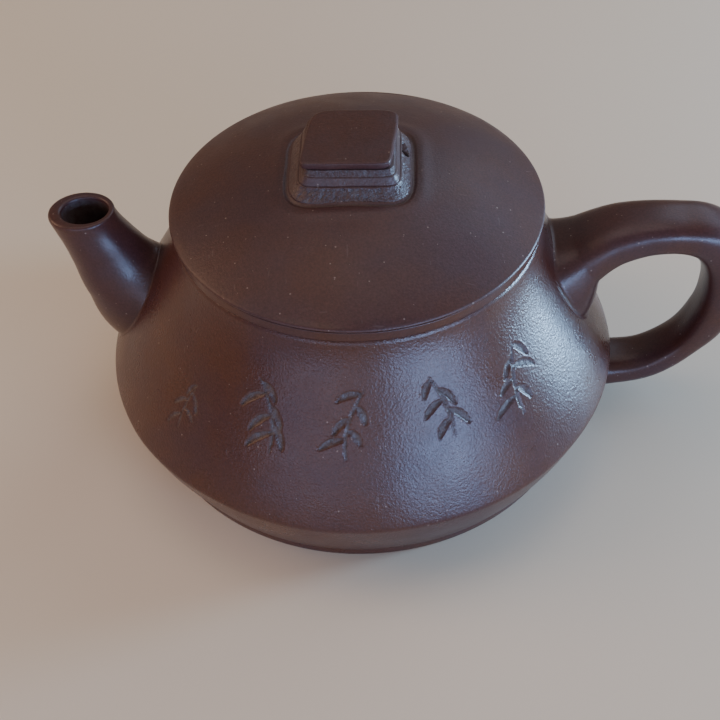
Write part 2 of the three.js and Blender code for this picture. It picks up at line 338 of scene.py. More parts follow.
def smooth_noise(points, wavelength, seed):
    """A gentle random field of about -1 to 1, made of plane waves of one wavelength."""
    random = np.random.default_rng(seed)
    directions = unit(random.normal(size=(NOISE_WAVES, 3)))
    phases = random.uniform(0, TAU, NOISE_WAVES)
    total = np.zeros(points.shape[:-1])
    for direction, phase in zip(directions, phases):
        total += np.sin(points @ direction * (TAU / wavelength) + phase)
    return total / math.sqrt(NOISE_WAVES)


def hand_made(points, *waves):
    """Unevenness in millimetres: smooth noises, each given as a wavelength, a seed and a size."""
    return sum(smooth_noise(points, wavelength, seed) * size for wavelength, seed, size in waves)


# ---------------------------------------------------------------- the body's surface

UNDERSIDE = [
    (FOOT_RADIUS + 0.5, BASE_BOTTOM),
    ((FOOT_RADIUS + RIDGE_RADIUS) / 2 + 1, (FOOT_HEIGHT + RIDGE_HEIGHT) / 2),
    (RIDGE_RADIUS, RIDGE_HEIGHT),
]
SHOULDER = [
    (RIDGE_RADIUS, RIDGE_HEIGHT),
    (RIDGE_RADIUS - 4.1, RIDGE_HEIGHT + 11),
    (NECK_RADIUS + 1.4, NECK_HEIGHT - 8),
    (NECK_RADIUS, NECK_HEIGHT),
]
RIDGE_SOFTNESS = 1.1


def body_line():
    """The body's outer section from the foot up to the neck, with the ridge softened."""
    return rounded(np.vstack([bezier(UNDERSIDE, 60), bezier(SHOULDER, 120)[1:]]), RIDGE_SOFTNESS)


BODY_LINE = body_line()


def above_body(points):
    """How far points stand out from the body's outer surface. It is negative inside."""
    radius = np.hypot(points[..., 0], points[..., 1])
    height = points[..., 2]
    surface = np.interp(height, BODY_LINE[:, 1], BODY_LINE[:, 0])
    nearby = np.interp(height + 0.3, BODY_LINE[:, 1], BODY_LINE[:, 0])
    lean = np.arctan((nearby - surface) / 0.3)
    return (radius - surface) * np.cos(lean)


# ---------------------------------------------------------------- incised sprigs

class Stroke:
    """One cut of the tool: a tapering curve on the unrolled shoulder, in millimetres."""

    def __init__(self, start, bend, end, width, depth):
        self.line = bezier([start, bend, end], 18)
        along = np.linspace(0, 1, 19)
        self.width = width * np.clip(np.sin(math.pi * (0.08 + 0.9 * along)) ** 0.7, 0.2, 1)
        self.depth = depth

    def cut(self, flat):
        """Depth of the cut and its cover, 0 to 1, at flat points (across, up)."""
        best = np.full(len(flat), 9.0)
        for a, b, wide in zip(self.line, self.line[1:], self.width):
            span = b - a
            t = np.clip(((flat - a) @ span) / (span @ span), 0, 1)
            off = np.linalg.norm(flat - a - t[:, None] * span, axis=1)
            best = np.minimum(best, off / (wide / 2))
        cover = np.clip((1.12 - best) * 3.2, 0, 1)
        burr = 0.07 * np.exp(-((best - 1.3) / 0.22) ** 2)
        return self.depth * cover - burr, cover


LEAF_DROOP = (-68, -18)  # degrees
LEAF_REACH = (0.3, 0.44)  # of the sprig's height
STALK_LEAN = (0.12, 0.3)  # of the sprig's height
STALK_STEPS = 40
STALK_BARE = 0.3  # the part of the stalk below the lowest leaf


def leaf_sprig(seed, height, leaves, width, depth):
    """A bent stalk with narrow leaves hanging from it on both sides."""
    random = np.random.default_rng(seed)
    lean = random.uniform(*STALK_LEAN) * height * (1 if seed % 2 else -1)
    foot = np.array([-lean / 2, -height / 2])
    tip = np.array([lean / 2, height / 2])
    bend = (foot + tip) / 2 + (-lean * 0.8, 0)
    strokes = [Stroke(foot, bend, tip, width * 0.5, depth * 0.7)]
    stalk = bezier([foot, bend, tip], STALK_STEPS)
    for k in range(leaves):
        joint = stalk[int(STALK_STEPS * (STALK_BARE + 0.68 * k / (leaves - 1)))]
        side = 1 if k % 2 else -1
        droop = math.radians(random.uniform(*LEAF_DROOP))
        reach = random.uniform(*LEAF_REACH) * height
        way = np.array([side * math.cos(droop), math.sin(droop)])
        start = joint + way * 0.5
        end = joint + way * reach
        curl = np.array([side * 0.12, 0.16]) * reach
        strokes.append(Stroke(start, (start + end) / 2 + curl, end, width, depth))
    return strokes


SPRIG_SCALE = 44.0  # radius, in mm, that turns an angle round the body into a length
SPRIG_SEED = 3
STROKE_WIDTH = 1.35
STROKE_DEPTH = 0.42
FAINT = 0.6  # width and depth of the leftmost sprig, against the others
SPRIGS_FROM, SPRIGS_TO = 25.5, 45.0  # heights between which the sprigs lie
SPRIGS = [  # place round the body in degrees, height up the body, size, number of leaves
    (-134.0, 31.5, 11.0, 5),
    (-112.5, 36.5, 14.0, 6),
    (-89.5, 37.0, 13.5, 5),
    (-68.0, 38.0, 12.5, 5),
    (-45.0, 36.5, 14.0, 6),
]


def incised(points):
    """Depth and cover of the sprigs at points of the body's skin, given in rows from the foot."""
    line_length = travelled(BODY_LINE)
    angle = np.arctan2(points[..., 1], points[..., 0])
    rise = np.interp(points[:, 0, 2], BODY_LINE[:, 1], line_length)
    depth = np.zeros(points.shape[:2])
    cover = np.zeros(points.shape[:2])
    for k, (place, height, size, leaves) in enumerate(SPRIGS):
        middle = np.interp(height, BODY_LINE[:, 1], line_length)
        along = (angle - math.radians(place)) * SPRIG_SCALE
        up = np.broadcast_to((rise - middle)[:, None], angle.shape)
        flat = np.stack([along, up], -1)
        near = np.abs(flat).max(-1) < size * 0.75
        light = FAINT if k == 0 else 1.0
        sprig = leaf_sprig(k + SPRIG_SEED, size, leaves, STROKE_WIDTH * light, STROKE_DEPTH * light)
        for stroke in sprig:
            cut_depth, cut_cover = stroke.cut(flat[near])
            depth[near] = np.where(np.abs(cut_depth) > np.abs(depth[near]), cut_depth, depth[near])
            cover[near] = np.maximum(cover[near], cut_cover)
    rough = smooth_noise(points, 1.3, 11) * 0.07 * cover
    return depth + rough, cover


# ---------------------------------------------------------------- the pot

def body_shell(material):
    """The body's wall in one skin, outside and inside, with the sprigs cut into its shoulder."""
    outer_length = length_of(BODY_LINE)
    even = np.linspace(0, outer_length, len(BODY_LINE))

    def row_density(at):
        """Rows stand closer at the sprigs and at the ridge."""
        height = np.interp(at, even, BODY_LINE[:, 1])
        above_lowest = 1 + np.exp(-(height - SPRIGS_FROM) * 1.5)
        below_highest = 1 + np.exp((height - SPRIGS_TO) * 1.5)
        ridge = 2.6 * np.exp(-((height - RIDGE_HEIGHT) / 1.3) ** 2)
        return 1 + 2.7 / above_lowest / below_highest + ridge

    def column_density(angle):
        """Columns stand closer across each sprig."""
        total = np.full(angle.shape, 1.0)
        for place, _, size, _ in SPRIGS:
            beyond = np.abs(angle - math.radians(place)) - math.radians(4.5 + size * 0.33)
            total = np.maximum(total, 1 + 3.6 / (1 + np.exp(beyond * 60)))
        return total

    outside = by_length(BODY_LINE, spaced(row_density, 0, outer_length, 122))
    shoulder = bezier(SHOULDER, 60)
    slope = unit(np.gradient(shoulder, axis=0))
    inside = shoulder + np.column_stack([-slope[:, 1], slope[:, 0]]) * WALL
    inside = inside[inside[:, 1] > RIDGE_HEIGHT + 1.5][::-1]
    inside[0, 1] = NECK_HEIGHT
    lowest = (FOOT_RADIUS - WALL + 0.8, BASE_BOTTOM)
    inside = rounded(np.vstack([inside, [(RIDGE_RADIUS - WALL, RIDGE_HEIGHT)], [lowest]]), 5)
    inside = thinned(inside, 0.02, 2.2)
    tucked = [(NECK_RADIUS - 0.8, NECK_HEIGHT + 0.4), (MOUTH_RADIUS + 2.2, NECK_HEIGHT + 0.6)]
    outline = np.vstack([outside, tucked, inside])
    angles = spaced(column_density, -math.pi, math.pi, 431)[:-1]
    points = revolved(outline, angles)

    skin = points[:len(outside)]
    depth, cover = incised(skin)
    along = unit(np.gradient(outside, axis=0))
    normal = revolved(np.column_stack([along[:, 1], -along[:, 0]]), angles)
    below_neck = np.clip((NECK_HEIGHT - skin[..., 2]) / 6, 0, 1)
    above_foot = np.clip((skin[..., 2] - BASE_BOTTOM) / 4, 0, 1)
    uneven = hand_made(skin, (34, 1, 0.1), (13, 2, 0.03)) * (below_neck * above_foot)
    points[:len(outside)] = skin + normal * (uneven - depth)[..., None]
    values = np.zeros(points.shape[:2])
    values[:len(outside)] = cover
    faces = grid_faces(len(outline), len(angles), True)
    shell = new_piece("body_shell", points.reshape(-1, 3), faces, material, values.reshape(-1))
    return cut_away(shell, port_tool())


PORT_RADIUS = 5.6
PORT_REACH = 15  # how far the cut goes each way from the spout's root


def port_tool():
    """The opening through the wall behind the spout."""
    reach = SPOUT_ROOT_WAY * PORT_REACH
    return rod("port_tool", PORT_RADIUS, SPOUT_ROOT - reach, SPOUT_ROOT + reach)


def mouth_rim(material):
    """The thickened rim, uneven on its outer side only."""
    low = NECK_HEIGHT - 0.1
    corners = [
        (MOUTH_RADIUS, low),
        (RIM_RADIUS - 0.5, low),
        (RIM_RADIUS, low + 0.35),
        (RIM_RADIUS, MOUTH_HEIGHT),
        (MOUTH_RADIUS, MOUTH_HEIGHT),
        (MOUTH_RADIUS, low + 0.1),
    ]
    outline = thinned(rounded(corners, 0.45, 0.05), 0.006)

    def uneven(points):
        outward = np.clip((np.hypot(points[..., 0], points[..., 1]) - MOUTH_RADIUS) / 4, 0, 1)
        wave = hand_made(points, (9, 5, 0.045), (3, 6, 0.02))
        scale = 1 + (wave * outward / RIM_RADIUS)[..., None] * np.array([1, 1, 0])
        return points * scale, np.zeros(points.shape[:2])

    return turned_piece("rim_clay", outline, material, 288, shape=uneven)


def foot_ring(material):
    inner = FOOT_RADIUS - FOOT_WIDTH
    top = BASE_BOTTOM + 0.7
    corners = [
        (inner - 0.2, top),
        (inner, 0),
        (FOOT_RADIUS, 0),
        (FOOT_RADIUS + 0.3, top),
        (inner - 0.1, top),
    ]
    outline = thinned(rounded(corners, 0.8, 0.06), 0.008)
    outline[:, 1] = np.maximum(outline[:, 1], 0)
    return turned_piece("foot_clay", outline, material, 224)


TURNING_DEPTH = 0.04
TURNING_SPACING = 3.4


def base_disc(material):
    """The floor of the pot: hollowed a little underneath, with faint rings from the turning."""
    edge = FOOT_RADIUS - WALL + 1.2
    below = [
        (0, BASE_BOTTOM + 0.5),
        (20, BASE_BOTTOM + 0.35),
        (38, BASE_BOTTOM),
        (edge, BASE_BOTTOM + 0.3),
    ]
    above = [
        (edge + 1.2, BASE_TOP + 4.5),
        (edge - 0.9, BASE_TOP + 1.6),
        (edge - 4, BASE_TOP),
        (0, BASE_TOP - 0.1),
    ]
    under = thinned(rounded(below, 5, 0.25), 0.003, 0.9)
    upper = thinned(rounded(above, 2.5, 0.25), 0.003, 1.2)
    inside_foot = np.clip((FOOT_RADIUS - 10 - under[:, 0]) / 6, 0, 1)
    under[:, 1] += TURNING_DEPTH * np.sin(under[:, 0] * TAU / TURNING_SPACING) * inside_foot
    return turned_piece("floor_clay", np.vstack([under, upper]), material, 160, on_axis=True)


BURIED = -1.2  # how far below the body's skin the roots of the spout and handle end


def signed_power(value, exponent):
    return np.sign(value) * np.abs(value) ** exponent


def sweep(stations, at, angles, roundness):
    """Surface points of a bar whose stations give centre x and z, half height and half width."""
    table = np.array(stations, float)
    middle, tangent = catmull_rom(table[:, :2], at)
    tangent = unit(tangent)
    size, _ = catmull_rom(table[:, 2:4], at)
    up = signed_power(np.sin(angles), roundness) * size[..., 0]
    side = signed_power(np.cos(angles), roundness) * size[..., 1]
    x = middle[..., 0] - tangent[..., 1] * up
    z = middle[..., 1] + tangent[..., 0] * up
    return np.stack([x, side, z], -1)


def bar_middles(stations, at):
    """Points on the bar's middle line."""
    path, _ = catmull_rom(np.array(stations)[:, :2], at)
    return np.stack([path[..., 0], 0 * at, path[..., 1]], -1)


def out_of_body(points):
    return above_body(points) > BURIED


def first_where(test, stations, angles, roundness, backwards=False):
    """Where along the bar each line of its skin first has points that pass the test."""
    at = np.linspace(0, 1, 1601)
    if backwards:
        at = at[::-1]
    shape = (len(at), len(angles))
    all_at = np.broadcast_to(at[:, None], shape)
    lines = sweep(stations, all_at, np.broadcast_to(angles, shape), roundness)
    return at[np.argmax(test(lines), axis=0)]


def filleted(points, middles, radius):
    """Spreads a bar's skin where it meets the body, as a wiped joint of clay does."""
    near = 1 - np.clip(above_body(points) / radius, 0, 1)
    spread = radius * (1 - np.sqrt(np.clip(1 - near ** 2, 0, 1)))
    return points + unit(points - middles) * spread[..., None]


HANDLE_STATIONS = [  # centre x and z, half height, half width
    (36.5, 32.5, 12.5, 12.8),
    (42.9, 37.2, 9.7, 11.2),
    (47.7, 41.9, 5.1, 8.6),
    (53.3, 45.4, 4.5, 7.2),
    (59.5, 47.1, 4.1, 6.6),
    (66, 47.3, 4, 6.3),
    (72.4, 45.7, 4.7, 6.3),
    (77.2, 39.8, 5.4, 6.2),
    (78, 31.1, 4.7, 6),
    (76, 22.5, 3.9, 5.7),
    (71, 14.4, 3.1, 5.5),
    (64, 9.2, 3.2, 5.5),
    (56.5, 7.6, 3.6, 5.8),
    (47, 7.8, 4.6, 6.4),
]
HANDLE_ROUNDNESS = 0.72
HANDLE_FILLET = 0.9


def handle(material):
    angles = round_angles(72)
    start = first_where(out_of_body, HANDLE_STATIONS, angles, HANDLE_ROUNDNESS)
    end = first_where(out_of_body, HANDLE_STATIONS, angles, HANDLE_ROUNDNESS, backwards=True)

    def row_density(at):
        """Rows stand closer at both roots."""
        return 1 + 6 * np.exp(-at * 28) + 6 * np.exp((at - 1) * 28)

    at = start + (end - start) * spaced(row_density, 0, 1, 230)[:, None]
    points = sweep(HANDLE_STATIONS, at, np.broadcast_to(angles, at.shape), HANDLE_ROUNDNESS)
    middles = bar_middles(HANDLE_STATIONS, at)
    points = filleted(points, middles, HANDLE_FILLET)
    uneven = hand_made(points, (15, 8, 0.09), (7, 9, 0.03))
    points = points + unit(points - middles) * uneven[..., None]
    return closed_bar("handle_clay", points, material)


SPOUT_STATIONS = [  # centre x and z, half height, half width
    (-39, 27.5, 15.5, 11),
    (-46.2, 31, 13.2, 9.6),
    (-50.8, 37, 9.4, 8.1),
    (-53.7, 43.6, 7.4, 6.9),
    (-56.1, 50, 6.6, 6.1),
    (-57.9, 57, 6.9, 6.2),
]
SPOUT_WALL = 1.9
SPOUT_BORE_SHIFT = 0.7  # the pouring lip is the thicker side
SPOUT_FILLET = 0.5
LIP_RISE = 1.0
LIP_ROUNDNESS = 0.62
BORE_UNBURNISHED_AND_LIT = 0.8  # the bore takes the paler cut tone: partly unburnished clay, partly painted light standing in for light falling into it


def spout(material):
    angles = round_angles(96)
    bore = [(x + SPOUT_BORE_SHIFT, z, half_height - SPOUT_WALL, half_wide - SPOUT_WALL)
            for x, z, half_height, half_wide in SPOUT_STATIONS]

    def at_lip(points):
        return points[..., 2] > SPOUT_TIP - LIP_RISE

    def skin(stations, count, root_density):
        """Rows of points from the body to the lip, and the bar's middle at each."""
        root = first_where(out_of_body, stations, angles, 1)
        tip = first_where(at_lip, stations, angles, 1)
        rows = spaced(lambda at: 1 + root_density * np.exp(-at * 14), 0, 1, count)[:, None]
        at = root + (tip - root) * rows
        points = sweep(stations, at, np.broadcast_to(angles, at.shape), 1)
        return points, bar_middles(stations, at)

    outer, middles = skin(SPOUT_STATIONS, 90, 5)
    outer = filleted(outer, middles, SPOUT_FILLET)
    fade = np.clip((SPOUT_TIP - 3 - outer[..., 2]) / 6, 0, 1)
    uneven = hand_made(outer, (13, 21, 0.09)) * fade
    outer = outer + unit(outer - middles) * uneven[..., None]
    inner, _ = skin(bore, 40, 1)
    inner = inner[::-1]
    middle = (outer[-1] + inner[0]) / 2
    reach = outer[-1] - middle
    lip = []
    for turn in np.linspace(0, math.pi, 13)[1:-1]:
        rise = LIP_RISE * signed_power(math.sin(turn), LIP_ROUNDNESS)
        lip.append(middle + reach * signed_power(math.cos(turn), LIP_ROUNDNESS) + (0, 0, rise))
    points = np.concatenate([outer, lip, inner])
    faces = grid_faces(len(points), len(angles), True)
    # painted light: the bore's skin gets the paler cut tone, which stands in for light falling into the
    # bore as well as for unburnished clay
    unburnished_and_lit_bore = np.zeros(points.shape[:2])
    unburnished_and_lit_bore[-len(inner):] = BORE_UNBURNISHED_AND_LIT
    flat = points.reshape(-1, 3)
    return face_outwards(new_piece("spout_clay", flat, faces, material, unburnished_and_lit_bore.reshape(-1)))


STRAINER_RADIUS = 9.0
STRAINER_THICKNESS = 1.6
STRAINER_INSET = 2.5
STRAINER_HOLE = 1.1
STRAINER_HOLES = ((0.0, 1), (0.45, 6))  # tilt of each ring of holes in radians, and its count


def strainer(material):
    """A pierced dome over the port, on the inside."""
    way = SPOUT_ROOT_WAY
    up = np.array([-way[2], 0, way[0]])
    side = np.array([0.0, 1.0, 0.0])
    centre = SPOUT_ROOT + way * STRAINER_INSET
    angles = round_angles(72)
    ring = np.cos(angles)[:, None] * up + np.sin(angles)[:, None] * side
    inside_wall = -(WALL - 0.7)

    def on_dome(radius, tilt):
        return centre + radius * (np.cos(tilt)[..., None] * way + np.sin(tilt)[..., None] * ring)

    def skin(radius):
        """Rows of points from the dome's top to where it runs into the body's wall."""
        tilts = np.linspace(0.02, 2.6, 600)
        in_wall = above_body(on_dome(radius, tilts[:, None])) > inside_wall
        stop = tilts[np.argmax(in_wall, axis=0)]
        return on_dome(radius, np.linspace(0.04, 1, 34)[:, None] * stop)

    inner = skin(STRAINER_RADIUS - STRAINER_THICKNESS)
    points = np.concatenate([skin(STRAINER_RADIUS), inner[::-1]])
    piece = closed_bar("strainer_clay", points, material)
    tools = []
    for tilt, count in STRAINER_HOLES:
        for k in range(count):
            turn = TAU * k / count
            lean = math.cos(turn) * up + math.sin(turn) * side
            ray = math.cos(tilt) * way + math.sin(tilt) * lean
            tools.append(rod("hole", STRAINER_HOLE, centre + ray * 4, centre + ray * 14, 20))
    return cut_away(piece, *tools)


# ---------------------------------------------------------------- the lid and its knob

DOME_RADIUS = (LID_RADIUS ** 2 + (LID_TOP - LID_EDGE) ** 2) / (2 * (LID_TOP - LID_EDGE))
DOME_CENTRE = LID_TOP - DOME_RADIUS
PLINTH_CORNERS = 7  # exponents of the knob's rounded squares, higher is squarer
PLINTH_FOOT_CORNERS = 4.6
WAIST_CORNERS = 10
CAP_CORNERS = 11
CAP_SKEW = 0.9  # how far the top slab's back and front edges are shifted, right and left
CAP_BACK_CORNERS = 5.5  # the top slab's back corners are rounder
KNOB_SIDES = (  # how roughly each side of the knob is worked, and which way it faces
    (0.6, 0),  # right
    (0.8, math.pi / 2),  # back
    (0.35, math.pi),  # left
    (1.0, -math.pi / 2),  # front
)
GROOVE_DEPTH = 0.4
GROOVE_HALF_WIDTH = 0.4
SWELL_HEIGHT = 0.2


def dome_height(radius, margin=0.0):
    return DOME_CENTRE + np.sqrt((DOME_RADIUS + margin) ** 2 - radius ** 2)


def square_radius(x, y, corners):
    """Half the size of the rounded square about the knob's middle that passes through a point."""
    return (np.abs(x) ** corners + np.abs(y) ** corners) ** (1 / corners)


def lid_disc(material):
    """A dome with rounded edge, a groove cut round the knob and a soft swell outside it."""

    def row_density(radius):
        """Rows stand closer round the foot of the knob."""
        beyond = np.abs(radius - 15.2) - 3.4
        return 1 + 3.4 / (1 + np.exp(beyond * 3))

    top_radii = spaced(row_density, 0, LID_RADIUS - 0.25, 74)
    top = np.column_stack([top_radii, dome_height(top_radii)])[::-1]
    edge = [
        (LID_RADIUS - 0.5, LID_SEAT),
        (LID_RADIUS, LID_SEAT + 0.35),
        (LID_RADIUS, LID_EDGE - 0.2),
    ]
    edge = thinned(rounded(np.vstack([edge, top[:3]]), 0.3, 0.04), 0.004)
    seat_inner = FLANGE_RADIUS - FLANGE_WIDTH - GAP
    under_radii = np.linspace(0, seat_inner - 1.5, 26)
    under = np.column_stack([under_radii, dome_height(under_radii, -LID_THICKNESS)])
    under = rounded(np.vstack([under, [(seat_inner, LID_SEAT)], edge[:1]]), 1.2, 0.2)
    under = thinned(under, 0.01, 1.6)
    outline = np.vstack([under[:-1], edge, top[3:]])

    def shaped(points):
        x = points[..., 0] - KNOB_X
        y = points[..., 1] - KNOB_Y
        square = square_radius(x, y, PLINTH_FOOT_CORNERS)
        turn = np.arctan2(y, x)
        upper = points[..., 2] > LID_SEAT + 1
        upper &= points[..., 2] > dome_height(np.hypot(points[..., 0], points[..., 1]), -0.5)
        strength = 0.75 + 0.25 * np.cos(turn + 0.9)
        wander = smooth_noise(points, 8, 31) * 0.08
        off_groove = np.abs(square - PLINTH_HALF - 0.4 + wander) / GROOVE_HALF_WIDTH
        groove = GROOVE_DEPTH * strength * np.clip(1.25 - off_groove, 0, 1)
        swell = SWELL_HEIGHT * np.exp(-((square - PLINTH_HALF - 2.2) / 1.4) ** 2)
        uneven = hand_made(points, (26, 32, 0.07), (10, 33, 0.02))
        rise = np.where(upper, swell + uneven - groove, 0)
        lifted = points.copy()
        lifted[..., 2] += rise
        return lifted, np.where(upper, np.clip(groove * 1.2, 0, 1), 0)

    disc = turned_piece("lid_dome", outline, material, 400, on_axis=True, shape=shaped)
    return cut_away(disc, vent_tool())


def lid_flange(material):
    inner = FLANGE_RADIUS - FLANGE_WIDTH
    bottom = FLANGE_LOW[2]
    top = LID_SEAT + 0.5
    corners = [
        (FLANGE_RADIUS - 0.1, top),
        (inner, top),
        (inner + 0.3, bottom),
        (FLANGE_RADIUS - 0.4, bottom),
        (FLANGE_RADIUS, bottom + 1.2),
        (FLANGE_RADIUS, top),
    ]
    outline = thinned(rounded(corners, 0.9, 0.08), 0.01)
    return turned_piece("lid_collar", outline, material, 224)


VENT_TURN = math.radians(17)
VENT_TILT = math.radians(33)
VENT_HALF_LENGTH = 2.15
VENT_HALF_WIDTH = 1.1


def vent_tool():
    """A slanting passage with the section of a small leaf, pointed at one end."""
    turn, tilt = VENT_TURN, VENT_TILT
    outward = np.array([math.cos(turn), math.sin(turn), 0])
    way = math.cos(tilt) * outward + (0, 0, math.sin(tilt))
    along = np.array([-math.sin(turn), math.cos(turn), 0])
    across = np.cross(along, way)
    middle = np.array([KNOB_X, KNOB_Y, PLINTH_HIGH[2] - 3.5]) + (PLINTH_HALF - 4.7) * outward
    angles = round_angles(40)
    long = VENT_HALF_LENGTH * np.cos(angles)
    wide = VENT_HALF_WIDTH * np.sin(angles) * (1 - 0.42 * np.cos(angles))
    ring = long[:, None] * along + wide[:, None] * across
    return cutting_bar("vent_tool", middle - way * 6.6 + ring * 0.7, middle + way * 9 + ring)


def square_turned(name, outline, material, corners, middle, columns, shape):
    """Like a turned piece that ends on its axis, with its round section made a rounded square."""
    fine = np.linspace(0, TAU, 6001)
    reach = 1 / square_radius(np.cos(fine), np.sin(fine), corners)
    edge = np.stack([reach * np.cos(fine), reach * np.sin(fine)], -1)
    place = np.linspace(0, travelled(edge)[-1], columns, endpoint=False)
    section = by_length(edge, place)
    ring = outline[1:-1]
    heights = np.broadcast_to(ring[:, None, 1:], (len(ring), columns, 1))
    points = np.concatenate([ring[:, None, :1] * section, heights], -1)
    points, values = shape(points, place)
    points = points + np.array([*middle, 0])
    flat, faces = capped_grid(points, (*middle, outline[0, 1]), (*middle, outline[-1, 1]))
    values = np.concatenate([values.reshape(-1), [0, 0]])
    return face_outwards(new_piece(name, flat, faces, material, values))


FINE_CUTS_SEED = 50  # added to the seed of the coarse cuts


def notches(place, height, length, seed, spacing, depth):
    """Depth of many short downward tool cuts at places round an edge and heights of 0 to 1."""
    random = np.random.default_rng(seed)
    total = np.zeros(np.broadcast(place, height).shape)
    for k in range(int(length / spacing)):
        middle = (k + random.uniform(-0.35, 0.35)) * spacing
        half = random.uniform(0.45, 1.0) * spacing * 0.75
        slant = random.uniform(-0.9, 0.9) * spacing
        low, high = np.sort(random.uniform(-0.25, 1.25, 2))
        strength = depth * random.uniform(0.35, 1)
        off = (place - middle - slant * (height - 0.5) + length / 2) % length - length / 2
        inside = np.clip((height - low) * 6, 0, 1) * np.clip((high + 0.35 - height) * 6, 0, 1)
        total = np.maximum(total, strength * np.clip(1 - np.abs(off) / half, 0, 1) * inside)
    return total


def side_strength(points):
    """How strongly each side of the knob is worked, blended round its corners."""
    turn = np.arctan2(points[..., 1], points[..., 0])
    total = np.zeros(turn.shape)
    weight = np.zeros(turn.shape)
    for strength, facing in KNOB_SIDES:
        share = np.clip(np.cos(turn - facing), 0, 1) ** 6
        total += share * strength
        weight += share
    return total / weight


def chipped(points, place, low, high, seed, spacing, depth):
    """Pushes the skin between two heights inwards with rough tool cuts."""
    height = (points[..., 2] - low) / (high - low)
    radius = np.hypot(points[..., 0], points[..., 1])
    perimeter = 2 * math.pi * radius.mean()
    whole = place[-1] * (1 + 1 / len(place))
    scaled = np.broadcast_to(place / whole * perimeter, height.shape)
    band = np.clip((height + 0.06) * 9, 0, 1) * np.clip((1.06 - height) * 9, 0, 1)
    push = notches(scaled, height, perimeter, seed, spacing, depth)
    push += notches(scaled, height, perimeter, seed + FINE_CUTS_SEED, spacing * 0.55, depth * 0.5)
    push += np.abs(smooth_noise(points, 0.9, seed)) * depth * 0.4
    push *= band * side_strength(points)
    moved = points.copy()
    moved[..., :2] *= (1 - push / np.maximum(radius, 1))[..., None]
    moved[..., 2] -= push * 0.35
    return moved, np.clip(push / depth * 0.9, 0, 1)


def knob_side(corners, radius, step, count):
    """A tier's side line, with evenly spaced points."""
    side = rounded(corners, radius, step)
    return by_length(side, np.linspace(0, length_of(side), count))


def knob_plinth(material):
    top = PLINTH_HIGH[2] + GAP
    foot = float(dome_height(np.array(PLINTH_HALF))) - 0.2
    bottom = foot - 1.6
    brow = top - 0.25
    corners = [
        (PLINTH_HALF - 0.6, bottom),
        (PLINTH_HALF, foot),
        (WAIST_HALF + 0.75, top - 0.9),
        (WAIST_HALF + 0.35, brow),
        (WAIST_HALF - 1.2, brow),
    ]
    outline = np.vstack([[(0, bottom)], knob_side(corners, 0.35, 0.05, 40), [(0, brow)]])

    def shape(points, place):
        low_down = np.clip((top - 0.6 - points[..., 2]) / (top - 0.6 - foot), 0, 1)
        squarer = square_radius(points[..., 0], points[..., 1], PLINTH_CORNERS)
        rounder = square_radius(points[..., 0], points[..., 1], PLINTH_FOOT_CORNERS)
        points[..., :2] *= (1 + (squarer / rounder - 1) * low_down)[..., None]
        rough, worked = chipped(points, place, foot - 0.3, top - 0.55, 41, 0.62, 0.3)
        return chipped(rough, place, foot + 0.5, top - 0.4, 45, 1.7, 0.22)[0], worked

    middle = (KNOB_X, KNOB_Y)
    plinth = square_turned("knob_lowest_tier", outline, material, PLINTH_CORNERS, middle, 540, shape)
    return cut_away(plinth, vent_tool())


def knob_waist(material):
    low = WAIST_LOW[2] - GAP - 0.4
    step = WAIST_LOW[2] + 1.35
    high = WAIST_HIGH[2] + 0.1
    corners = [
        (WAIST_HALF - 0.5, low),
        (WAIST_HALF, low + 0.45),
        (WAIST_HALF, low + 0.75),
        (WAIST_HALF - 0.6, step),
        (CAP_HALF + 0.15, step + 0.05),
        (CAP_HALF, high - 0.2),
        (CAP_HALF - 0.8, high),
    ]
    outline = np.vstack([[(0, low)], knob_side(corners, 0.16, 0.03, 46), [(0, high)]])

    def shape(points, place):
        upper, worked = chipped(points, place, step, high - 0.2, 61, 0.7, 0.24)
        return chipped(upper, place, low + 0.6, step - 0.1, 63, 2.4, 0.05)[0], worked

    middle = (KNOB_X, KNOB_Y)
    return square_turned("knob_middle_tier", outline, material, WAIST_CORNERS, middle, 420, shape)


def knob_cap(material):
    """A smooth slab with a worn bevel, set a little askew so that its back leans to the right."""
    low, high = CAP_LOW[2] - GAP, CAP_HIGH[2]
    half = CAP_HALF
    corners = [
        (half - 0.8, low),
        (half - 0.1, low + 0.2),
        (half, low + 0.4),
        (half, high - 0.28),
        (half - 0.28, high - 0.04),
        (half - 3, high),
    ]
    side = thinned(rounded(corners, 0.22, 0.03), 0.004, 0.5)
    inwards = [(radius, high) for radius in (4, 2.4, 1)]
    outline = np.vstack([[(0, low)], side, inwards, [(0, high)]])

    def shape(points, place):
        back = points[..., 1] / half
        rounder = square_radius(points[..., 0], points[..., 1], CAP_BACK_CORNERS)
        squarer = square_radius(points[..., 0], points[..., 1], CAP_CORNERS)
        soften = 1 + (squarer / np.maximum(rounder, 1e-6) - 1) * np.clip(back, 0, 1)
        wave = hand_made(points, (6, 71, 0.055), (2.6, 72, 0.02))
        edge = np.clip(np.hypot(points[..., 0], points[..., 1]) / half - 0.6, 0, 0.4) * 2.5
        moved = points.copy()
        moved[..., :2] *= (soften * (1 + wave * edge / half))[..., None]
        moved[..., 0] += CAP_SKEW * back
        worn = hand_made(points, (7, 73, 0.03)) - 0.04
        moved[..., 2] += np.where(points[..., 2] > high - 0.2, worn, 0)
        return moved, np.zeros(points.shape[:2])

    return square_turned("knob_top_slab", outline, material, CAP_CORNERS, (CAP_X, KNOB_Y), 360, shape)


# ---------------------------------------------------------------- clay

